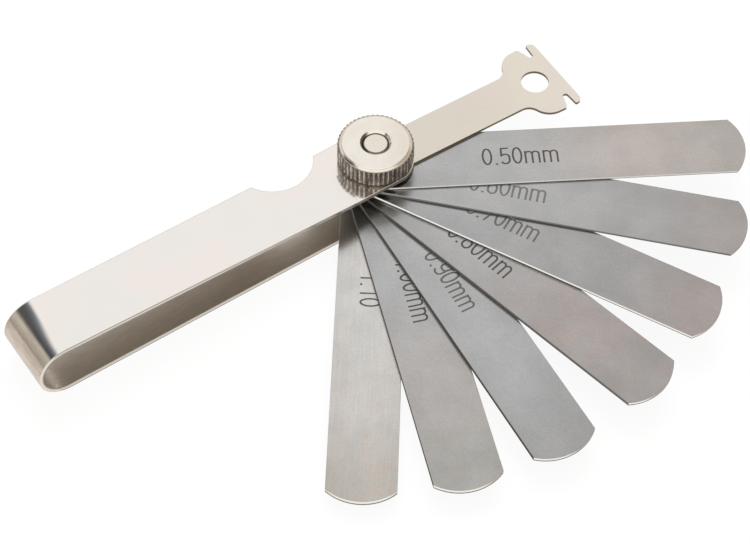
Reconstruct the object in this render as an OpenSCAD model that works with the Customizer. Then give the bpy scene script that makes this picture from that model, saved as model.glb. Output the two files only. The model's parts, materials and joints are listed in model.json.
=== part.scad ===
// Folding feeler gauge: seven steel leaves and a slotted bending tool turn on one stud
// between the two arms of a bent strip handle, and a knurled nut clamps the stack.
// Origin: on the stud's axis, in the underside of the lower arm.
// +Z runs up the stud towards the nut, and the handle lies along -X.

/* [Handle] */
// Distance from the stud's axis to the closed end of the handle
handle_reach = 77.4; // [74:0.1:90]
// Thickness of the bent strip
strip_t = 0.9; // [0.5:0.05:1.2]
// Width of the strip at the stud
strip_w_stud = 14.2; // [13.6:0.1:16]
// Width of the strip at the closed end
strip_w_bend = 12.9; // [12.8:0.1:16]
// Radius of the free end of each arm, centred on the stud
arm_end_r = 7.4; // [7.2:0.1:9]
// Angle at which the upper arm rises towards the closed end
arm_splay = 2.2; // [0:0.1:4]
// Length of the flat seat around the stud, measured from its axis
seat_reach = 8.5; // [8:0.5:12]

/* [Thumb notch] */
// Radius of the notch in the arms' long edge
notch_r = 7.9; // [5:0.1:8]
// Distance from the stud's axis to the middle of the notch
notch_x = 16.75; // [16.5:0.05:40]
// Width of strip left beside the deepest point of the notch, from the centre line
notch_floor = 2.65; // [1:0.05:5]
// Radius of the rounded shoulders of the notch
notch_shoulder_r = 2; // [0.5:0.1:3]

/* [Stud and nut] */
// Diameter of the stud
stud_d = 5; // [4:0.1:6]
// Diameter of the stud's flush countersunk head
stud_head_d = 7.6; // [6.5:0.1:9]
// Outer diameter of the spacer washer under the leaves
washer_d = 10; // [8:0.1:12]
// Thickness of the spacer washer
washer_t = 1.3; // [0.5:0.01:2]
// Diameter of the nut over its knurl
nut_d = 14.7; // [14:0.1:18]
// Height of the nut
nut_h = 4.65; // [3:0.05:7]
// Number of teeth in the knurl
nut_teeth = 48; // [24:1:72]
// Depth of the knurl
knurl_depth = 0.36; // [0.1:0.02:0.5]
// How far the end of the stud lies below the top of the nut
stud_recess = 0.35; // [0:0.05:0.5]

/* [Leaves] */
// Width of every leaf
leaf_w = 12.7; // [10:0.1:12.7]
// Distance from the stud's axis to the corners of the tip
leaf_reach = 69.2; // [60:0.1:69.5]
// Height of the rounded tip beyond its corners
tip_rise = 2.4; // [0.5:0.1:3]
// Thickness of the thinnest leaf
leaf_t_first = 0.5; // [0.3:0.05:0.5]
// Step in thickness from one leaf to the next
leaf_t_step = 0.1; // [0.05:0.05:0.1]
// Opening angle of each leaf, from the thinnest to the thickest
fan_angles = [30.6, 46.8, 63.4, 78.8, 95.7, 110.9, 126.6]; // each [0:0.1:180]

/* [Thickness marks] */
// Height of the figures
mark_h = 4.1; // [2:0.1:5]
// Width of an engraved line
mark_line = 0.35; // [0.2:0.01:0.4]
// Depth of an engraved line
mark_depth = 0.04; // [0.02:0.01:0.1]
// Distance from the stud's axis to the first figure on each leaf
mark_starts = [20.5, 18.5, 19.9, 20.2, 21.7, 20.5, 22.5]; // each [12:0.1:40]
// Foot of the figures on each leaf, from its centre line
mark_feet = [-1.95, -2.15, -1.3, -1.9, -1.85, -1.4, -1.9]; // each [-3:0.05:0]

/* [Bending tool] */
// Distance from the stud's axis to the flat end of the tool
tool_reach = 42.55; // [36:0.05:60]
// Width of the tool's shank
tool_w = 8.8; // [7:0.1:10]
// Thickness of the tool
tool_t = 0.6; // [0.4:0.05:1]
// Width of the tool's head over its hooks
tool_head_w = 17.5; // [16:0.1:20]
// Diameter of the hanging hole in the head
hang_d = 5.5; // [3:0.1:6.5]
// Distance from the hanging hole's centre to the flat end
hang_inset = 5.35; // [4:0.05:8]
// Width of a gap slot at its closed end
slot_w = 1.1; // [0.5:0.05:1.2]
// Opening angle of the tool
tool_angle = 2.1; // [0:0.1:180]

/* [Hidden] */
$fn = 96;

leaf_count = 7;
last_leaf = leaf_count - 1;
// Free play between neighbours in the stack, and between the stud and what turns on it
play_z = 0.03;
play_r = 0.05;
swage_gap = 0.02;
cut = 1;

function leaf_t(i) = leaf_t_first + i * leaf_t_step;
// Thickness of the leaves from number i down to the thickest, each with its play
function stack_below(i) = i > last_leaf ? 0 : leaf_t(i) + play_z + stack_below(i + 1);
leaf_base = strip_t + washer_t;
function leaf_top(i) = leaf_base + stack_below(i);

tool_z = leaf_top(0) + play_z;
seat_z = tool_z + tool_t + play_z + strip_t;
nut_z = seat_z + play_z;
nut_top = nut_z + nut_h;

// Height of the stud's countersunk head, and how fast its diameter grows downwards
head_h = strip_t - swage_gap;
head_flare = (stud_head_d - stud_d) / head_h;

// The bend is a half circle that touches the lower arm and the rising upper arm
rise = tan(arm_splay);
bend_r = (seat_z + rise * (handle_reach - seat_reach)) / (1 + 1 / cos(arm_splay) + rise);
bend_x = bend_r - handle_reach;

function reversed(list) = [for (i = [len(list) - 1:-1:0]) list[i]];
function arc(centre, r, from, to, steps = 12) =
    [for (i = [0:steps]) let (a = from + (to - from) * i / steps) centre + r * [cos(a), sin(a)]];

// ---- Handle ----

// Side outline of the space between the outer faces of the arms, drawn in X and Z,
// or of the space between their inner faces when inset is the strip's thickness
module arm_side(inset) {
    r = bend_r - inset;
    translate([bend_x, bend_r])
    circle(r = r);
    polygon([
        [arm_end_r + cut, inset], [arm_end_r + cut, seat_z - inset], [-seat_reach, seat_z - inset],
        [bend_x + r * sin(arm_splay), bend_r + r * cos(arm_splay)], [bend_x, inset]
    ]);
}

module bent_strip() {
    rotate([90, 0, 0])
    linear_extrude(height = strip_w_stud + 2 * cut, center = true)
    difference() {
        arm_side(0);
        arm_side(strip_t);
        translate([arm_end_r, strip_t])
        square([2 * cut, seat_z - 2 * strip_t]);
    }
}

// Half width of the strip at distance x from the stud
function half_w(x) = (strip_w_stud + (strip_w_bend - strip_w_stud) * x / handle_reach) / 2;

module notch_outline() {
    centre_y = notch_floor + notch_r;
    edge_y = half_w(notch_x);
    shoulder_y = edge_y - notch_shoulder_r;
    shoulder_x = sqrt(pow(notch_r + notch_shoulder_r, 2) - pow(centre_y - shoulder_y, 2));
    translate([-notch_x, 0]) {
        translate([0, centre_y])
        circle(r = notch_r);
        difference() {
            polygon([
                [0, centre_y], [-shoulder_x, shoulder_y], [-shoulder_x, edge_y + cut],
                [shoulder_x, edge_y + cut], [shoulder_x, shoulder_y]
            ]);
            for (side = [-1, 1])
                translate([side * shoulder_x, shoulder_y])
                circle(r = notch_shoulder_r);
        }
    }
}

module strip_plan() {
    difference() {
        union() {
            intersection() {
                circle(r = arm_end_r);
                square([3 * arm_end_r, strip_w_stud], center = true);
            }
            polygon([
                [0, half_w(0)], [-handle_reach - cut, half_w(handle_reach + cut)],
                [-handle_reach - cut, -half_w(handle_reach + cut)], [0, -half_w(0)]
            ]);
        }
        notch_outline();
    }
}

// The hole for the stud's swaged head is countersunk in the lower arm
module handle() {
    color("gainsboro")
    difference() {
        intersection() {
            bent_strip();
            translate([0, 0, -cut])
            linear_extrude(height = 3 * bend_r)
            strip_plan();
        }
        translate([0, 0, -cut])
        cylinder(d = stud_d + 2 * swage_gap, h = strip_t + 2 * cut);
        translate([0, 0, -cut])
        cylinder(
            d1 = stud_head_d + head_flare * cut + 2 * swage_gap,
            d2 = stud_d + 2 * swage_gap,
            h = head_h + cut
        );
        translate([0, 0, seat_z - strip_t - cut])
        cylinder(r = stud_d / 2 + play_r, h = strip_t + 2 * cut);
    }
}

// ---- Stud, washer and nut ----

module pivot_stud() {
    end_z = nut_top - stud_recess;
    edge_r = 0.3;
    color("silver")
    union() {
        cylinder(d1 = stud_head_d, d2 = stud_d, h = head_h);
        cylinder(d = stud_d, h = end_z - edge_r);
        rotate_extrude()
        polygon(concat(
            [[0, end_z - edge_r]],
            arc([stud_d / 2 - edge_r, end_z - edge_r], edge_r, 0, 90, 6),
            [[0, end_z]]
        ));
    }
}

module spacer_washer() {
    color("darkgray")
    translate([0, 0, strip_t])
    difference() {
        cylinder(d = washer_d, h = washer_t);
        translate([0, 0, -cut])
        cylinder(r = stud_d / 2 + play_r, h = washer_t + 2 * cut);
    }
}

// Outline of the knurl: one ridge and one root for each tooth
module knurl_outline() {
    polygon([
        for (i = [0:2 * nut_teeth - 1])
            let (a = 180 * i / nut_teeth, r = nut_d / 2 - (i % 2) * knurl_depth)
            r * [cos(a), sin(a)]
    ]);
}

// The face is a round step above a shoulder that slopes out to the knurl
module knurled_nut() {
    bore_r = stud_d / 2 + play_r;
    mouth = 0.45;
    foot_bevel = 0.7;
    face_r = nut_d / 2 - 0.8;
    step_r = 0.25;
    shoulder_drop = 0.45;
    color("wheat")
    translate([0, 0, nut_z])
    difference() {
        intersection() {
            linear_extrude(height = nut_h)
            knurl_outline();
            rotate_extrude()
            polygon(concat(
                [[0, 0], [nut_d / 2 - foot_bevel, 0], [nut_d / 2 + 0.01, foot_bevel]],
                [[nut_d / 2 + 0.01, nut_h - step_r - shoulder_drop]],
                arc([face_r - step_r, nut_h - step_r], step_r, 0, 90, 6),
                [[0, nut_h]]
            ));
        }
        translate([0, 0, -cut])
        cylinder(r = bore_r, h = nut_h + 2 * cut);
        translate([0, 0, nut_h - mouth])
        cylinder(r1 = bore_r, r2 = bore_r + mouth, h = mouth);
        cylinder(r1 = bore_r + mouth, r2 = bore_r, h = mouth);
    }
}

// ---- Thickness marks ----

// A figure is a pair: its open strokes and its closed loops. Each is a list of points along
// the middle of the line, in units of the figure's height
line_w = mark_line / mark_h;
foot = line_w / 2;
head = 1 - foot;
left = foot;
bowl_r = 0.2;
mid = left + bowl_r;
right = mid + bowl_r;
// Top of the large bowls of 5 and 6, and middle height of 3 and 8
bowl_top = 0.6;
waist = 0.54;
small_r = 0.17;
// Height of a small letter, and radius of its arches
x_height = 0.74;
arch_r = 0.16;

low_c = [mid, foot + bowl_r];
high_c = [mid, head - bowl_r];
bowl_c = [mid, bowl_top - bowl_r];
waist_low_c = [mid, waist - bowl_r];
waist_high_c = [mid, waist + 0.01 + small_r];
small_high_c = [mid, head - small_r];

function half_turned(lists) = [for (list = lists) [for (p = list) [2 * mid, 1] - p]];

zero = [[], [[for (p = arc([0, 0], 1, 0, 345, 23)) [mid + bowl_r * p[0], 0.5 + (head - 0.5) * p[1]]]]];
one = [[[[mid + 0.07, 0], [mid + 0.07, head], [mid - 0.07, head - 0.14]]], []];
two = [[concat(arc(high_c, bowl_r, 170, -30), [[left, foot], [right, foot]])], []];
three = [[
    arc(small_high_c, small_r, 160, -90),
    concat(arc(waist_low_c, bowl_r, 90, 0), arc(low_c, bowl_r, 0, -160))
], []];
four = [[
    [[right - 0.08, 0], [right - 0.08, 1]],
    [[right - 0.1, head], [left, 0.3], [right, 0.3]]
], []];
five = [[
    [[right - 0.03, head], [left + 0.04, head], [left + 0.02, bowl_top - 0.12]],
    concat(arc(bowl_c, bowl_r, 150, 0), arc(low_c, bowl_r, 0, -155))
], []];
six = [
    [concat(arc(high_c, bowl_r, 25, 180), [[left + 0.015, bowl_top - 0.22]])],
    [concat(arc(low_c, bowl_r, 180, 360), arc(bowl_c, bowl_r, 0, 180))]
];
seven = [[[[left, head], [right, head], [left + 0.1, 0]]], []];
eight = [[], [
    concat(arc(low_c, bowl_r, 180, 360), arc(waist_low_c, bowl_r, 0, 180)),
    concat(arc(waist_high_c, small_r, 180, 360), arc(small_high_c, small_r, 0, 180))
]];
nine = [half_turned(six[0]), half_turned(six[1])];
point = [[[[-0.65 * line_w, foot], [0.65 * line_w, foot]]], []];
unit_m = [[
    [[left, 0], [left, x_height]],
    for (k = [1, 3]) concat(
        arc([left + k * arch_r, x_height - foot - arch_r], arch_r, 175, 0),
        [[left + (k + 1) * arch_r, 0]]
    )
], []];
digits = [zero, one, two, three, four, five, six, seven, eight, nine];

function unit(v) = v / norm(v);
// The point before or after number i, round the corner of a closed loop
function at(p, i) = p[(i + len(p)) % len(p)];
function entry(p, i, closed) = i == 0 && !closed ? unit(p[1] - p[0]) : unit(p[i] - at(p, i - 1));
function leaving(p, i, closed) =
    i == len(p) - 1 && !closed ? entry(p, i, closed) : unit(at(p, i + 1) - p[i]);
// One side of the line through p, drawn line_w wide
function line_side(p, side, closed) = [
    for (i = [0:len(p) - 1])
        let (
            before = entry(p, i, closed),
            heading = unit(before + leaving(p, i, closed)),
            gain = 1 / max(0.5, before * heading)
        )
        p[i] + side * line_w / 2 * gain * [-heading[1], heading[0]]
];

module figure(shape, x) {
    translate([x * mark_h, 0]) {
        for (p = shape[0])
            polygon(mark_h * concat(line_side(p, 1, false), reversed(line_side(p, -1, false))));
        for (p = shape[1])
            difference() {
                polygon(mark_h * line_side(p, -1, true));
                polygon(mark_h * line_side(p, 1, true));
            }
    }
}

// The mark is the thickness in millimetres, and all but the thickest leaf also carry the unit
module thickness_mark(i) {
    hundredths = round(100 * leaf_t(i));
    figure(digits[floor(hundredths / 100)], 0);
    figure(point, 0.67);
    figure(digits[floor(hundredths / 10) % 10], 0.85);
    figure(digits[hundredths % 10], 1.42);
    if (i < last_leaf) {
        figure(unit_m, 2.01);
        figure(unit_m, 2.87);
    }
}

// ---- Leaves ----

module leaf_outline() {
    tip_r = (pow(leaf_w / 2, 2) + pow(tip_rise, 2)) / (2 * tip_rise);
    difference() {
        union() {
            circle(d = leaf_w);
            intersection() {
                translate([0, -leaf_w / 2])
                square([leaf_reach + tip_rise + cut, leaf_w]);
                union() {
                    translate([leaf_reach + tip_rise - tip_r, 0])
                    circle(r = tip_r, $fn = 180);
                    translate([0, -leaf_w])
                    square([leaf_reach + tip_rise - tip_r, 2 * leaf_w]);
                }
            }
        }
        circle(r = stud_d / 2 + play_r);
    }
}

module leaf(i) {
    translate([0, 0, leaf_top(i)])
    rotate(-fan_angles[i])
    difference() {
        translate([0, 0, -leaf_t(i)])
        linear_extrude(height = leaf_t(i))
        leaf_outline();
        translate([mark_starts[i], mark_feet[i], -mark_depth])
        linear_extrude(height = cut)
        thickness_mark(i);
    }
}

module leaf_0_50() { color("lightsteelblue") leaf(0); }
module leaf_0_60() { color("silver") leaf(1); }
module leaf_0_70() { color("lightsteelblue") leaf(2); }
module leaf_0_80() { color("silver") leaf(3); }
module leaf_0_90() { color("lightsteelblue") leaf(4); }
module leaf_1_00() { color("silver") leaf(5); }
module leaf_1_10() { color("lightsteelblue") leaf(6); }

// ---- Bending tool ----

// One half of the tool's outline, from the pivot end to the middle of the flat end:
// shank, hollow neck, round lobe, gap slot and pointed hook
function tool_half() =
    let (
        lobe_r = 4,
        lobe_inset = 0.15,
        lobe_c = [tool_reach - 5.25, tool_head_w / 2 - lobe_inset - lobe_r],
        neck_r = 2.5,
        neck_y = tool_w / 2 + neck_r,
        neck_x = lobe_c[0] - sqrt(pow(lobe_r + neck_r, 2) - pow(neck_y - lobe_c[1], 2)),
        neck_a = atan2(lobe_c[1] - neck_y, lobe_c[0] - neck_x),
        hook_t = 1.7,
        slot_c = [tool_reach - hook_t - slot_w / 2, tool_head_w / 2 - 2.6],
        lip_x = tool_reach - hook_t - slot_w - 0.6,
        tip_y = tool_head_w / 2
    )
    concat(
        arc([0, 0], tool_w / 2, 180, 90),
        arc([neck_x, neck_y], neck_r, -90, neck_a),
        arc(lobe_c, lobe_r, 180 + neck_a, 90),
        [[lip_x - 0.5, tip_y - 0.1], [lip_x - 0.1, tip_y - 0.5]],
        arc(slot_c, slot_w / 2, 180, 360),
        [[tool_reach - hook_t + 0.15, tip_y - 0.2], [tool_reach - hook_t + 0.4, tip_y]],
        [[tool_reach - 0.6, tip_y - 0.15], [tool_reach - 0.1, tip_y - 0.75], [tool_reach, tip_y - 1.4]]
    );

module bending_tool() {
    half = tool_half();
    color("antiquewhite")
    translate([0, 0, tool_z])
    rotate(-tool_angle)
    linear_extrude(height = tool_t)
    difference() {
        polygon(concat(half, [for (p = reversed(half)) [p[0], -p[1]]]));
        circle(r = stud_d / 2 + play_r);
        translate([tool_reach - hang_inset, 0])
        circle(d = hang_d);
    }
}

handle();
pivot_stud();
spacer_washer();
leaf_1_10();
leaf_1_00();
leaf_0_90();
leaf_0_80();
leaf_0_70();
leaf_0_60();
leaf_0_50();
bending_tool();
knurled_nut();
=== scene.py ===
import json
import math

import bpy
from mathutils import Matrix, Vector


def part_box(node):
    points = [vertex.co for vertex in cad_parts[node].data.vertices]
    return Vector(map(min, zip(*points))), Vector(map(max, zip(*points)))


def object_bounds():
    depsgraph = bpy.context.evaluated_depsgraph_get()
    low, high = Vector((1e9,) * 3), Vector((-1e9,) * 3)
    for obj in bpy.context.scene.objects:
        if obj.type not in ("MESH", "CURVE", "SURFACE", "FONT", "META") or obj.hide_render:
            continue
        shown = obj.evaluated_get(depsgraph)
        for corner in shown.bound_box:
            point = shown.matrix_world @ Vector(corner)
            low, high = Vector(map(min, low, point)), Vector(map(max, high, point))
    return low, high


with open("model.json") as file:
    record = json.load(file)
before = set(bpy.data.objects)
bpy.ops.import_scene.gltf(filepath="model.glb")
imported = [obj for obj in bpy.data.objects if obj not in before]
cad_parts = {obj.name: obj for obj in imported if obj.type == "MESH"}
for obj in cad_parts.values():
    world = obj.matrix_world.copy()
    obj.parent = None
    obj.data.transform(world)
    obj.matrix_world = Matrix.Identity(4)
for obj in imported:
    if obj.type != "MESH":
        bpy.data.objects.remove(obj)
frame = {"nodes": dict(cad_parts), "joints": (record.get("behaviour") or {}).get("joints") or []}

MM = 0.001
cad_low, cad_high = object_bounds()

# ---- Measures, in millimetres unless the name says otherwise ----

LEAVES = [name for name in frame["nodes"] if name.startswith("leaf_")]
HANDLE_LOW, HANDLE_HIGH = (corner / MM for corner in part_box("handle"))
NUT_LOW, NUT_HIGH = (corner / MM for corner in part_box("knurled_nut"))

# The closed end: the radius of its outer face and the place along X where the bend starts
BEND_R = HANDLE_HIGH.z / 2
BEND_X = HANDLE_LOW.x + BEND_R
# By how much the shading of the bend is turned at its far side
BEND_LEAN = math.radians(-13)

# The strip, on whose lower arm the washer lies, and the slope and the whole drop of its upper
# arm from the bend to the nut
STRIP_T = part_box("spacer_washer")[0].z / MM
ARM_SLOPE = math.tan(math.radians(2.2))
ARM_DROP = HANDLE_HIGH.z - NUT_LOW.z

# The nut, the end of the stud in it, and the depth of the knurl and of the engraved figures
NUT_R = NUT_HIGH.x
STUD_R = 2.5
KNURL_DEPTH = 0.36
MARK_DEPTH = 0.04

# The camera looks down on the pivot from the closed end's side
VIEW_AZIMUTH, VIEW_ELEVATION, VIEW_ROLL = -35.17, 54.64, 0.76
VIEW_DISTANCE = 403.4
VIEW_TARGET = Vector((-11.85, -17.16, 0.18))
LENS, SENSOR = 102.4, 36.0
CLIP_START_M, CLIP_END_M = 0.01, 20.0

# Reflection off a level surface, seen from the camera, goes this way
SKY_AHEAD = Vector((0.333, 0.473, 0.816))

FLOOR_SIZE_M = 6.0
FLOOR_GLOW_SHARE = 0.92
LAMP_SIZE_M = (0.9, 0.7)
LAMP_DISTANCE_M = 1.2
LAMP_POWER_W = 9.0


def opening_angle(leaf):
    """The angle, in degrees, by which a leaf is turned clockwise from +X at rest."""
    joint = next(j for j in frame["joints"] if j["child"] == leaf)
    return sum(joint["range_deg"]) / 2


# ---- Shader graphs ----


def grey(value):
    return (value, value, value)


class Graph:
    """Short calls that build the node tree of one material or of the world."""

    def __init__(self, tree):
        self.tree = tree
        tree.nodes.clear()

    def feed(self, socket, value):
        """Links an input to an output or gives it a value. Colours are written without alpha."""
        if isinstance(value, bpy.types.NodeSocket):
            self.tree.links.new(value, socket)
        elif socket.type == "RGBA":
            socket.default_value = (*value, 1.0)
        else:
            socket.default_value = value

    def add(self, kind, inputs=None, **settings):
        node = self.tree.nodes.new("ShaderNode" + kind)
        for name, value in settings.items():
            setattr(node, name, value)
        for name, value in (inputs or {}).items():
            self.feed(node.inputs[name], value)
        return node

    def math(self, operation, a, b=0.0):
        return self.add("Math", {0: a, 1: b}, operation=operation).outputs[0]

    def plus(self, a, b):
        return self.math("ADD", a, b)

    def minus(self, a, b):
        return self.math("SUBTRACT", a, b)

    def product(self, first, *others):
        for other in others:
            first = self.math("MULTIPLY", first, other)
        return first

    def smooth(self, value, low, high, start=0.0, end=1.0):
        """start up to low, end from high on, and an even blend between. low may be above high."""
        inputs = {"Value": value, "From Min": low, "From Max": high, "To Min": start, "To Max": end}
        return self.add("MapRange", inputs, interpolation_type="SMOOTHSTEP").outputs[0]

    def vector_math(self, operation, a, b):
        return self.add("VectorMath", {0: a, 1: b}, operation=operation).outputs[0]

    def length(self, vector):
        return self.add("VectorMath", {0: vector}, operation="LENGTH").outputs["Value"]

    def dot(self, a, b):
        return self.add("VectorMath", {0: a, 1: b}, operation="DOT_PRODUCT").outputs["Value"]

    def parts(self, vector):
        return self.add("SeparateXYZ", {0: vector}).outputs

    def mix(self, factor, a, b):
        node = self.add("Mix", data_type="RGBA")
        self.feed(node.inputs[0], factor)
        self.feed(node.inputs[6], a)
        self.feed(node.inputs[7], b)
        return node.outputs[2]

    def shaded(self, colour, *shades):
        """A colour made lighter or darker by each of the numbers in turn."""
        for shade in shades:
            inputs = {0: colour, "Scale": shade}
            colour = self.add("VectorMath", inputs, operation="SCALE").outputs[0]
        return colour

    def noise(self, vector, scale=1.0, detail=3.0, roughness=0.55, stretch=None):
        """Noise from 0 to 1. stretch says how fine it is along each axis."""
        if stretch is not None:
            vector = self.vector_math("MULTIPLY", vector, stretch)
        inputs = {"Vector": vector, "Scale": scale, "Detail": detail, "Roughness": roughness}
        return self.add("TexNoise", inputs).outputs[0]

    def bump(self, height, distance_mm, strength, normal):
        inputs = {"Height": height, "Strength": strength, "Normal": normal}
        return self.add("Bump", {**inputs, "Distance": distance_mm * MM}).outputs[0]


def metal_graph(name):
    """A new material's graph, with the object's own coordinates in millimetres."""
    material = bpy.data.materials.new(name)
    material.use_nodes = True
    graph = Graph(material.node_tree)
    place = graph.add("TexCoord").outputs["Object"]
    return material, graph, graph.vector_math("MULTIPLY", place, (1 / MM,) * 3)


def finish_metal(graph, **inputs):
    """Ends a graph in a metal surface. An underscore in an input's name stands for a space."""
    named = {key.replace("_", " "): value for key, value in inputs.items()}
    shader = graph.add("BsdfPrincipled", {**named, "Metallic": 1.0})
    output = graph.add("OutputMaterial")
    graph.feed(output.inputs["Surface"], shader.outputs[0])


def rounded(graph, radius_mm):
    """A normal that rolls over the sharp edges of the CAD mesh."""
    return graph.add("Bevel", {"Radius": radius_mm * MM}, samples=6).outputs[0]


# ---- Handle ----


def polished_nickel():
    """Bright plate on the outside of the bent strip, duller and browner on its inside, with painted
    glints in the curve of the bend.
    """
    pinkish, creamy, stained = (0.865, 0.815, 0.785), (0.835, 0.82, 0.795), (0.73, 0.645, 0.60)
    inside_dark, inside_light = (0.49, 0.45, 0.405), (0.55, 0.51, 0.46)
    inside_painted_glint = (0.90, 0.85, 0.78)

    material, graph, place = metal_graph("polished_nickel")
    x, _, z = graph.parts(place)
    flat_normal = graph.parts(graph.add("NewGeometry").outputs["True Normal"])
    beyond = graph.math("MINIMUM", graph.minus(x, BEND_X), 0.0)
    above = graph.minus(z, BEND_R)
    # Positive on the strip's outer faces, and negative on its inner ones
    outward = graph.plus(graph.product(beyond, flat_normal[0]), graph.product(above, flat_normal[2]))
    inside = graph.smooth(outward, -1.0, -2.0)
    on_edge = graph.smooth(graph.math("ABSOLUTE", flat_normal[1]), 0.6, 0.8)
    on_bend = graph.smooth(x, BEND_X - 0.5, BEND_X - 0.8 * BEND_R)

    clouds = graph.noise(place, scale=0.09, detail=4.0)
    stains = graph.noise(place, detail=5.0, roughness=0.7, stretch=(0.5, 0.25, 1.2))
    streaks = graph.noise(place, detail=5.0, roughness=0.6, stretch=(0.4, 1.6, 1.6))
    scratches = graph.noise(place, detail=5.0, roughness=0.7, stretch=(0.25, 9.0, 9.0))
    specks = graph.noise(place, scale=1.6, detail=2.0)

    outer = graph.mix(graph.smooth(clouds, 0.40, 0.60), pinkish, creamy)
    worn = graph.product(on_bend, graph.smooth(stains, 0.42, 0.62, end=0.8))
    outer = graph.mix(worn, outer, stained)
    inner = graph.mix(graph.smooth(streaks, 0.3, 0.7), inside_dark, inside_light)
    # Painted highlights: light specks on the inside of the bend's curve
    in_curve = graph.smooth(x, BEND_X, BEND_X - 4.0, end=0.8)
    painted_glints = graph.product(in_curve, graph.smooth(specks, 0.58, 0.68))
    inner = graph.mix(painted_glints, inner, inside_painted_glint)
    colour = graph.mix(inside, outer, inner)
    colour = graph.mix(on_edge, colour, cut_edge_colour(graph, x, z, on_bend, beyond, above))

    roughness = graph.smooth(scratches, 0.25, 0.75, 0.09, 0.15)
    roughness = graph.mix(inside, roughness, grey(0.34))
    roughness = graph.mix(on_edge, roughness, grey(0.24))
    surface = leaning_in(graph, rounded(graph, 0.25), place)
    surface = graph.bump(clouds, 0.05, 0.3, surface)
    surface = graph.bump(streaks, 0.004, 0.25, surface)
    finish_metal(graph, Base_Color=colour, Roughness=roughness, Normal=surface)
    return material


def cut_edge_colour(graph, x, z, on_bend, beyond, above):
    """The strip's cut edge: bright, with a painted glint on the bend, a painted dark line along the
    arms' outer faces and painted shade along its inner lip.
    """
    arm_edge, bend_edge_painted_glint = (0.92, 0.93, 0.94), (1.0, 0.975, 0.965)
    outer_rim_painted_shade, inner_lip_painted_shade = (0.24, 0.23, 0.22), (0.36, 0.32, 0.28)
    painted_edge_shade, shaded = (0.60, 0.58, 0.55), (0.25, 0.24, 0.22)

    # The depth below the strip's outer face: the upper arm sinks from the bend to the nut
    sunk = graph.product(graph.minus(x, BEND_X), ARM_SLOPE)
    sunk = graph.math("MINIMUM", graph.math("MAXIMUM", sunk, 0.0), ARM_DROP)
    sunk = graph.product(sunk, graph.math("GREATER_THAN", above, 0.0))
    profile = graph.add("CombineXYZ", {0: beyond, 2: graph.plus(above, sunk)}).outputs[0]
    depth = graph.minus(BEND_R, graph.length(profile))

    # A painted highlight makes the cut edge brighter on the bend
    colour = graph.mix(on_bend, arm_edge, bend_edge_painted_glint)
    # A painted dark reflection line on the cut edge, along the arms' outer faces
    rim = graph.product(graph.smooth(depth, 0.34, 0.22), graph.smooth(on_bend, 0.6, 0.2, end=0.8))
    colour = graph.mix(rim, colour, outer_rim_painted_shade)
    # Painted shade along the inner lip of the cut edge, strongest on the bend
    lip = graph.smooth(depth, STRIP_T - 0.35, STRIP_T - 0.2)
    lip = graph.product(lip, graph.smooth(on_bend, 0.0, 0.5, 0.35, 0.9))
    colour = graph.mix(lip, colour, inner_lip_painted_shade)

    # Painted shade: the upper arm's edge darkens towards the nut, and both arms' edges are dark at the
    # stud
    upper = graph.smooth(z, BEND_R - 2.0, BEND_R + 2.0)
    shade_towards_nut = graph.product(upper, graph.smooth(x, -52.0, -24.0))
    colour = graph.mix(shade_towards_nut, colour, painted_edge_shade)
    return graph.mix(graph.smooth(x, -14.0, -1.0), colour, shaded)


def leaning_in(graph, normal, place):
    """Shades the bend as if it started a little earlier on its far side than on its near side."""
    x, y, z = graph.parts(place)
    turn = graph.product(
        graph.smooth(y, HANDLE_LOW.y, HANDLE_HIGH.y, end=BEND_LEAN),
        graph.smooth(x, BEND_X + 1.5, BEND_X - 0.7),
        graph.smooth(x, BEND_X - 3.2, BEND_X - 0.7),
        graph.smooth(z, BEND_R, BEND_R + 2.0),
    )
    lean = {"Vector": normal, "Axis": (0, 1, 0), "Angle": turn}
    return graph.add("VectorRotate", lean, rotation_type="AXIS_ANGLE").outputs[0]


# ---- Leaves and bending tool ----


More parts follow.
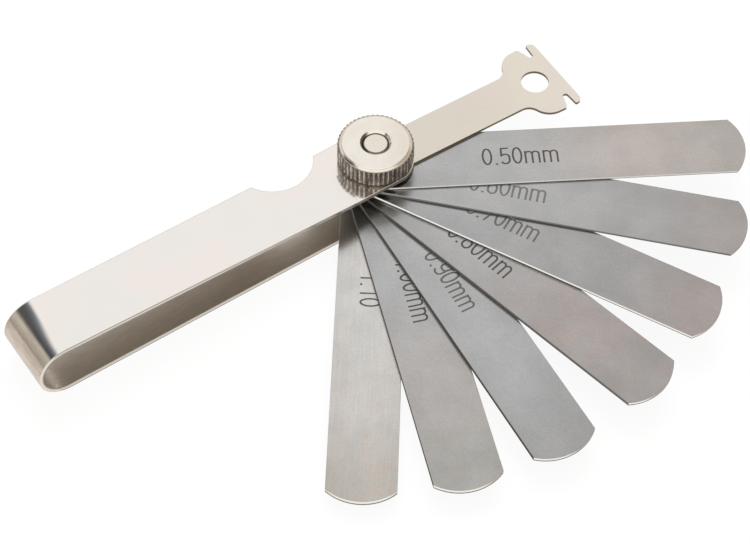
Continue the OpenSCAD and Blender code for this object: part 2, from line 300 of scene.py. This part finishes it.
def leaf_steel(leaf, root, middle, tip, rust, brushing, ink, edge):
    """Finely ground spring steel with a faint temper tint; the engraved figures are dark."""
    warm_temper, cool_temper = (1.025, 0.992, 0.975), (0.978, 1.004, 1.018)
    untinted, rust_tint = grey(1.0), (1.14, 0.91, 0.76)
    dark_ink = (0.06, 0.058, 0.056)

    material, graph, place = metal_graph(leaf + "_steel")
    bottom, top = (corner.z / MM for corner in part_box(leaf))
    angle = math.radians(opening_angle(leaf))
    turned = {"Vector": place, "Angle": angle}
    along = graph.add("VectorRotate", turned, rotation_type="Z_AXIS").outputs[0]
    from_stud, across, _ = graph.parts(along)
    # Where the colour changes along the leaf, as distances from the stud
    root_to_middle, middle_to_tip, rusting = (24.0, 50.0), (52.0, 68.0), (36.0, 66.0)

    # Each leaf takes its noise at a height of its own, so that no two leaves look alike
    own = graph.vector_math("ADD", along, (0.0, 0.0, 37.0 * angle))
    grain = graph.noise(own, detail=4.0, roughness=0.65, stretch=(0.10, 2.8, 1.0))
    fine_grain = graph.noise(own, roughness=0.6, stretch=(0.5, 14.0, 1.0))
    speckle = graph.noise(own, scale=2.6, roughness=0.7)
    clouds = graph.noise(own, scale=0.13, detail=4.0, roughness=0.6)
    mottle = graph.noise(own, detail=5.0, roughness=0.7, stretch=(0.2, 0.4, 1.0))
    spots = graph.noise(own, detail=5.0, roughness=0.75, stretch=(0.3, 0.6, 1.0))

    # The root, middle and tip colours hold painted reflection brightness as well as the steel's own
    # tone
    colour = graph.mix(graph.smooth(from_stud, *root_to_middle), root, middle)
    colour = graph.mix(graph.smooth(from_stud, *middle_to_tip), colour, tip)
    temper = graph.mix(graph.smooth(mottle, 0.35, 0.65), warm_temper, cool_temper)
    temper = graph.mix(min(1.0, 0.35 + rust), untinted, temper)
    rusty = graph.smooth(from_stud, *rusting, end=rust)
    rusty = graph.product(rusty, graph.smooth(spots, 0.50, 0.70))
    for tint in (temper, graph.mix(rusty, untinted, rust_tint)):
        colour = graph.vector_math("MULTIPLY", colour, tint)
    # Painted light: the third shade makes each leaf a little brighter along its middle than at its
    # long edges
    colour = graph.shaded(
        colour,
        graph.smooth(speckle, 0.3, 0.7, 0.95, 1.045),
        graph.smooth(clouds, 0.3, 0.7, 0.95, 1.06),
        graph.smooth(graph.math("ABSOLUTE", across), 1.0, 6.3, 1.015, 0.975),
        graph.smooth(grain, 0.25, 0.75, 1 - brushing, 1 + brushing),
    )

    facing = graph.add("TexCoord").outputs["Normal"]
    upward = graph.parts(facing)[2]
    depth = graph.minus(top, graph.parts(place)[2])
    in_groove = graph.smooth(depth, 0.4 * MARK_DEPTH, 0.6 * MARK_DEPTH)
    engraved = graph.product(graph.smooth(upward, 0.5, 0.6), in_groove)
    colour = graph.mix(graph.product(engraved, ink), colour, dark_ink)
    roughness = graph.smooth(fine_grain, 0.2, 0.8, 0.19, 0.27)
    roughness = graph.mix(engraved, roughness, grey(0.5))

    # The leaf points this way, and so do its grinding lines
    direction = Vector((math.cos(angle), -math.sin(angle), 0.0))
    # Painted light: the side faces get a painted dark or bright colour
    side_colour = leaf_side_colour(graph, graph.dot(facing, direction), depth, top - bottom, edge)
    side = graph.smooth(upward, 0.6, 0.4)
    below_rim = graph.smooth(depth, 0.02, 0.12)
    colour = graph.mix(graph.product(side, below_rim), colour, side_colour)

    surface = graph.bump(grain, 0.004, 3 * brushing, rounded(graph, 0.13))
    surface = graph.bump(fine_grain, 0.0015, 0.4, surface)
    # The side faces are shaded as if they leaned up
    surface = graph.mix(side, surface, graph.vector_math("ADD", facing, (0, 0, 0.75)))
    spaces = {"convert_from": "OBJECT", "convert_to": "WORLD"}
    tangent = graph.add("VectorTransform", {0: direction}, **spaces).outputs[0]
    finish_metal(
        graph, Base_Color=colour, Roughness=roughness, Normal=surface, Anisotropic=0.3, Tangent=tangent
    )
    return material


def leaf_side_colour(graph, tipward, depth, thickness, edge):
    """Painted light on the ground side faces: a long edge as bright as its own leaf's, and a painted
    highlight on the tip.
    """
    painted_dark_side, painted_bright_side = grey(0.12), (0.98, 0.97, 0.94)
    painted_gleam = graph.smooth(tipward, 0.4, 0.6, edge, max(edge, 0.8))
    painted_gleam = graph.product(painted_gleam, graph.smooth(depth, 0.8 * thickness, 0.55 * thickness))
    return graph.mix(painted_gleam, painted_dark_side, painted_bright_side)


def satin_nickel():
    """Even, slightly sandy satin plate on the bending tool."""
    greenish, pinkish, painted_brown_side = (0.735, 0.69, 0.61), (0.74, 0.68, 0.625), (0.20, 0.17, 0.14)

    material, graph, place = metal_graph("satin_nickel")
    grains = graph.noise(place, scale=4.5, detail=4.0, roughness=0.65)
    clouds = graph.noise(place, scale=0.16)
    colour = graph.mix(graph.smooth(clouds, 0.35, 0.65), greenish, pinkish)
    sand = graph.smooth(grains, 0.3, 0.7, 0.94, 1.04)
    brighter_head = graph.smooth(graph.parts(place)[0], 20.0, 40.0, 1.0, 1.07)
    colour = graph.shaded(colour, sand, brighter_head)
    # Painted shade: the tool's side faces are coloured dark brown
    upward = graph.math("ABSOLUTE", graph.parts(graph.add("TexCoord").outputs["Normal"])[2])
    colour = graph.mix(graph.smooth(upward, 0.5, 0.3), colour, painted_brown_side)
    roughness = graph.smooth(grains, 0.2, 0.8, 0.27, 0.36)
    surface = graph.bump(grains, 0.003, 0.5, rounded(graph, 0.08))
    finish_metal(graph, Base_Color=colour, Roughness=roughness, Normal=surface)
    return material


# ---- Nut, stud and washer ----


def turned_face(graph, place, pitch):
    """Rings of a turning tool round the stud's axis: distance from the axis and ring height."""
    x, y, _ = graph.parts(place)
    radius = graph.length(graph.add("CombineXYZ", {0: x, 1: y}).outputs[0])
    ring_place = graph.add("CombineXYZ", {0: radius}).outputs[0]
    rings = graph.noise(ring_place, roughness=0.6, stretch=(1 / pitch, 1.0, 1.0))
    return radius, rings


def nut_nickel():
    """Bright plate over a turned face, worn and grimy on the knurl, with painted shade in its mouth
    and at its foot.
    """
    bright, creamy, aged = (0.88, 0.85, 0.82), (0.83, 0.78, 0.69), (0.77, 0.69, 0.60)
    knurl_grime, mouth_painted_shade = (0.13, 0.105, 0.08), (0.16, 0.12, 0.085)
    foot_painted_shade = (0.08, 0.06, 0.045)

    material, graph, place = metal_graph("nut_nickel")
    x, y, z = graph.parts(place)
    radius, rings = turned_face(graph, place, pitch=0.7)
    clouds = graph.noise(place, scale=0.35, detail=4.0, roughness=0.6)
    wear = graph.noise(place, detail=4.0, roughness=0.8, stretch=(0.9, 0.9, 0.35))
    scuffs = graph.noise(place, detail=4.0, roughness=0.7, stretch=(5.0, 5.0, 1.2))
    below_face = graph.minus(NUT_HIGH.z, z)
    on_knurl = graph.smooth(below_face, 0.35, 0.6)

    # The face, browner towards the camera's right
    tint = graph.plus(graph.product(rings, 0.6), graph.product(clouds, 0.4))
    colour = graph.mix(graph.smooth(tint, 0.38, 0.60), bright, creamy)
    rightward = graph.minus(graph.product(x, 0.82), graph.product(y, 0.57))
    colour = graph.mix(graph.smooth(rightward, 0.0, 6.5, end=0.6), colour, aged)
    colour = graph.shaded(colour, graph.smooth(rings, 0.3, 0.7, 0.93, 1.03))

    # The knurl: grime between its teeth, worn patches, and darker towards its foot
    root = graph.smooth(graph.minus(NUT_R, radius), 0.02, 0.6 * KNURL_DEPTH)
    grime = graph.product(root, graph.smooth(wear, 0.3, 0.6, 0.6, 1.0))
    patches = graph.smooth(wear, 0.42, 0.58, end=0.75)
    worn = graph.plus(patches, graph.smooth(below_face, 1.2, 3.8, end=0.25))
    worn = graph.product(worn, graph.smooth(scuffs, 0.35, 0.6, 0.5, 1.0))
    grime = graph.product(graph.math("MAXIMUM", grime, worn), on_knurl)
    colour = graph.mix(grime, colour, knurl_grime)

    # Painted shade on the left side of the mouth
    in_mouth = graph.smooth(radius, STUD_R + 0.55, STUD_R + 0.4)
    mouth_shade = graph.product(in_mouth, graph.smooth(rightward, -1.2, -2.2))
    colour = graph.mix(mouth_shade, colour, mouth_painted_shade)
    # Painted shade: a dark line where the nut's foot meets the arm
    at_foot = graph.smooth(graph.minus(z, NUT_LOW.z), 0.3, 0.15)
    colour = graph.mix(graph.product(at_foot, 0.9), colour, foot_painted_shade)

    roughness = graph.smooth(rings, 0.25, 0.75, 0.11, 0.19)
    surface = graph.bump(rings, 0.03, 0.4, rounded(graph, 0.08))
    surface = graph.bump(scuffs, 0.22, on_knurl, surface)
    finish_metal(graph, Base_Color=colour, Roughness=roughness, Normal=surface)
    return material


def stud_nickel():
    """Satin plate with a faintly turned end and a painted shade ring inside its rim."""
    light, dark, stud_ring_painted_shade = (0.86, 0.83, 0.75), (0.72, 0.68, 0.61), (0.10, 0.08, 0.06)

    material, graph, place = metal_graph("stud_nickel")
    radius, rings = turned_face(graph, place, pitch=0.22)
    grains = graph.noise(place, scale=3.5, detail=4.0)
    colour = graph.mix(grains, light, dark)
    # Painted shade: a dark ring just inside the stud's rim
    ring = graph.smooth(radius, STUD_R - 0.38, STUD_R - 0.28, end=0.9)
    ring = graph.product(ring, graph.smooth(radius, STUD_R - 0.03, STUD_R - 0.1))
    colour = graph.mix(ring, colour, stud_ring_painted_shade)
    surface = graph.bump(rings, 0.006, 0.4, rounded(graph, 0.1))
    surface = graph.bump(grains, 0.02, 0.4, surface)
    roughness = graph.smooth(grains, 0.2, 0.8, 0.22, 0.34)
    finish_metal(graph, Base_Color=colour, Roughness=roughness, Normal=surface)
    return material


def washer_steel():
    """Dull zinc plate with a fine mottled grain."""
    dark_zinc, light_zinc = (0.46, 0.45, 0.44), (0.58, 0.57, 0.55)

    material, graph, place = metal_graph("washer_steel")
    spangle = graph.noise(place, scale=1.8, detail=4.0)
    colour = graph.mix(spangle, dark_zinc, light_zinc)
    surface = graph.bump(spangle, 0.004, 0.4, rounded(graph, 0.08))
    roughness = graph.smooth(spangle, 0.2, 0.8, 0.32, 0.45)
    finish_metal(graph, Base_Color=colour, Roughness=roughness, Normal=surface)
    return material


def dress(node, material):
    """Gives a CAD node its material."""
    for slot in frame["nodes"][node].material_slots:
        slot.material = material


# ---- Studio ----


def studio_world():
    """A white tent, open to a dim room on its far left, over pale walls."""
    white, tent, card_white = grey(1.0), (1.0, 0.985, 0.965), (1.1, 1.08, 1.03)
    room_near, room_deep = (0.22, 0.25, 0.28), (0.065, 0.067, 0.07)
    wall_foot, wall_head = (0.38, 0.33, 0.26), (0.58, 0.55, 0.47)
    far_wall, right_wall = (0.84, 0.80, 0.73), (0.62, 0.55, 0.46)

    world = bpy.data.worlds.new("studio")
    world.use_nodes = True
    bpy.context.scene.world = world
    graph = Graph(world.node_tree)
    # The parts of the direction in which the world is seen
    x, y, z = graph.parts(graph.add("TexCoord").outputs["Generated"])

    opening = graph.product(
        graph.smooth(x, -0.12, -0.38), graph.smooth(y, 0.08, 0.26), graph.smooth(y, 0.70, 0.58)
    )
    room = graph.mix(graph.smooth(x, -0.25, -0.55), room_near, room_deep)
    colour = graph.mix(opening, tent, room)
    left_wall = graph.mix(graph.smooth(z, 0.0, 0.46), wall_foot, wall_head)
    walls = graph.mix(graph.smooth(x, -0.60, -0.38), left_wall, far_wall)
    height = graph.plus(z, graph.smooth(y, 0.46, 0.36, end=0.16))
    colour = graph.mix(graph.smooth(height, 0.64, 0.50), colour, walls)
    card = graph.product(graph.smooth(y, 0.16, 0.02), graph.smooth(x, 0.35, 0.1))
    colour = graph.mix(card, colour, card_white)
    right = graph.product(graph.smooth(x, 0.25, 0.5), graph.smooth(y, 0.1, -0.1))
    colour = graph.mix(right, colour, right_wall)
    colour = graph.mix(graph.add("LightPath").outputs["Is Camera Ray"], colour, white)

    background = graph.add("Background", {"Color": colour, "Strength": 1.0})
    output = graph.add("OutputWorld")
    graph.feed(output.inputs["Surface"], background.outputs[0])


def studio_floor():
    """A pale, evenly lit table top that keeps only a faint shadow and looks warmer in the metal."""
    warm, warm_grazing = (0.74, 0.68, 0.60), (0.58, 0.52, 0.45)

    bpy.ops.mesh.primitive_plane_add(size=FLOOR_SIZE_M, location=(0, 0, cad_low.z))
    floor = bpy.context.object
    floor.name = "floor"
    material = bpy.data.materials.new("pale_floor")
    material.use_nodes = True
    graph = Graph(material.node_tree)
    grazing = graph.add("LayerWeight", {"Blend": 0.5}).outputs["Facing"]
    mirrored = graph.mix(graph.smooth(grazing, 0.2, 0.9), warm, warm_grazing)
    glow_colour = graph.mix(graph.add("LightPath").outputs["Is Glossy Ray"], grey(1.0), mirrored)
    glow = graph.add("Emission", {"Color": glow_colour, "Strength": 1.0})
    paint = graph.add("BsdfDiffuse", {"Color": grey(0.9)})
    both = graph.add("MixShader", {0: FLOOR_GLOW_SHARE, 1: paint.outputs[0], 2: glow.outputs[0]})
    output = graph.add("OutputMaterial")
    graph.feed(output.inputs["Surface"], both.outputs[0])
    floor.data.materials.append(material)


def softbox_light():
    """One large lamp ahead of the camera; it lights the floor and leaves the reflections alone."""
    lamp = bpy.data.lights.new("softbox", "AREA")
    lamp.shape = "RECTANGLE"
    lamp.size, lamp.size_y = LAMP_SIZE_M
    lamp.energy = LAMP_POWER_W
    light = bpy.data.objects.new("softbox", lamp)
    light.location = SKY_AHEAD * LAMP_DISTANCE_M
    light.rotation_euler = SKY_AHEAD.to_track_quat("Z", "Y").to_euler()
    light.visible_glossy = False
    bpy.context.scene.collection.objects.link(light)


def camera():
    """A long lens on the fan, set by its azimuth, elevation, roll and distance."""
    azimuth, elevation, roll = (math.radians(a) for a in (VIEW_AZIMUTH, VIEW_ELEVATION, VIEW_ROLL))
    back = Vector((
        math.sin(azimuth) * math.cos(elevation),
        -math.cos(azimuth) * math.cos(elevation),
        math.sin(elevation),
    ))
    level_right = back.cross(Vector((0, 0, 1))).normalized() * -1
    level_up = back.cross(level_right)
    right = level_right * math.cos(roll) + level_up * math.sin(roll)
    up = level_up * math.cos(roll) - level_right * math.sin(roll)
    lens = bpy.data.cameras.new("camera")
    lens.lens, lens.sensor_width = LENS, SENSOR
    lens.clip_start, lens.clip_end = CLIP_START_M, CLIP_END_M
    eye = bpy.data.objects.new("camera", lens)
    turn = Matrix((right, up, back)).transposed().to_4x4()
    eye.matrix_world = Matrix.Translation((VIEW_TARGET + back * VIEW_DISTANCE) * MM) @ turn
    bpy.context.scene.collection.objects.link(eye)
    bpy.context.scene.camera = eye


# ---- Scene ----

# For each leaf: the colour of the steel at its root, its middle and its tip, which also holds the
# painted brightness of the leaf's reflection, how rusty it is, how strongly it is brushed, how dark
# its figures are and how bright the painted highlight on its edge is
LEAF_LOOKS = {
    "leaf_0_50": dict(
        root=(0.440, 0.446, 0.452), middle=(0.490, 0.450, 0.432), tip=(0.450, 0.425, 0.405),
        rust=0.15, brushing=0.010, ink=0.85, edge=0.60,
    ),
    "leaf_0_60": dict(
        root=(0.455, 0.458, 0.465), middle=(0.400, 0.398, 0.402), tip=(0.386, 0.363, 0.357),
        rust=0.10, brushing=0.010, ink=0.55, edge=0.05,
    ),
    "leaf_0_70": dict(
        root=(0.405, 0.410, 0.418), middle=(0.374, 0.368, 0.370), tip=(0.388, 0.350, 0.342),
        rust=0.15, brushing=0.008, ink=0.60, edge=0.85,
    ),
    "leaf_0_80": dict(
        root=(0.430, 0.433, 0.435), middle=(0.403, 0.373, 0.367), tip=(0.370, 0.356, 0.355),
        rust=0.70, brushing=0.010, ink=0.85, edge=0.10,
    ),
    "leaf_0_90": dict(
        root=(0.436, 0.442, 0.450), middle=(0.424, 0.430, 0.439), tip=(0.372, 0.374, 0.377),
        rust=0.05, brushing=0.010, ink=0.70, edge=0.10,
    ),
    "leaf_1_00": dict(
        root=(0.446, 0.453, 0.461), middle=(0.446, 0.430, 0.422), tip=(0.408, 0.404, 0.387),
        rust=0.10, brushing=0.012, ink=0.85, edge=0.05,
    ),
    "leaf_1_10": dict(
        root=(0.620, 0.616, 0.606), middle=(0.590, 0.578, 0.562), tip=(0.500, 0.477, 0.446),
        rust=0.60, brushing=0.045, ink=0.85, edge=0.10,
    ),
}

dress("handle", polished_nickel())
for leaf in LEAVES:
    dress(leaf, leaf_steel(leaf, **LEAF_LOOKS[leaf]))
dress("bending_tool", satin_nickel())
dress("knurled_nut", nut_nickel())
dress("pivot_stud", stud_nickel())
dress("spacer_washer", washer_steel())

studio_world()
studio_floor()
softbox_light()
camera()
bpy.context.scene.view_settings.view_transform = "Standard"
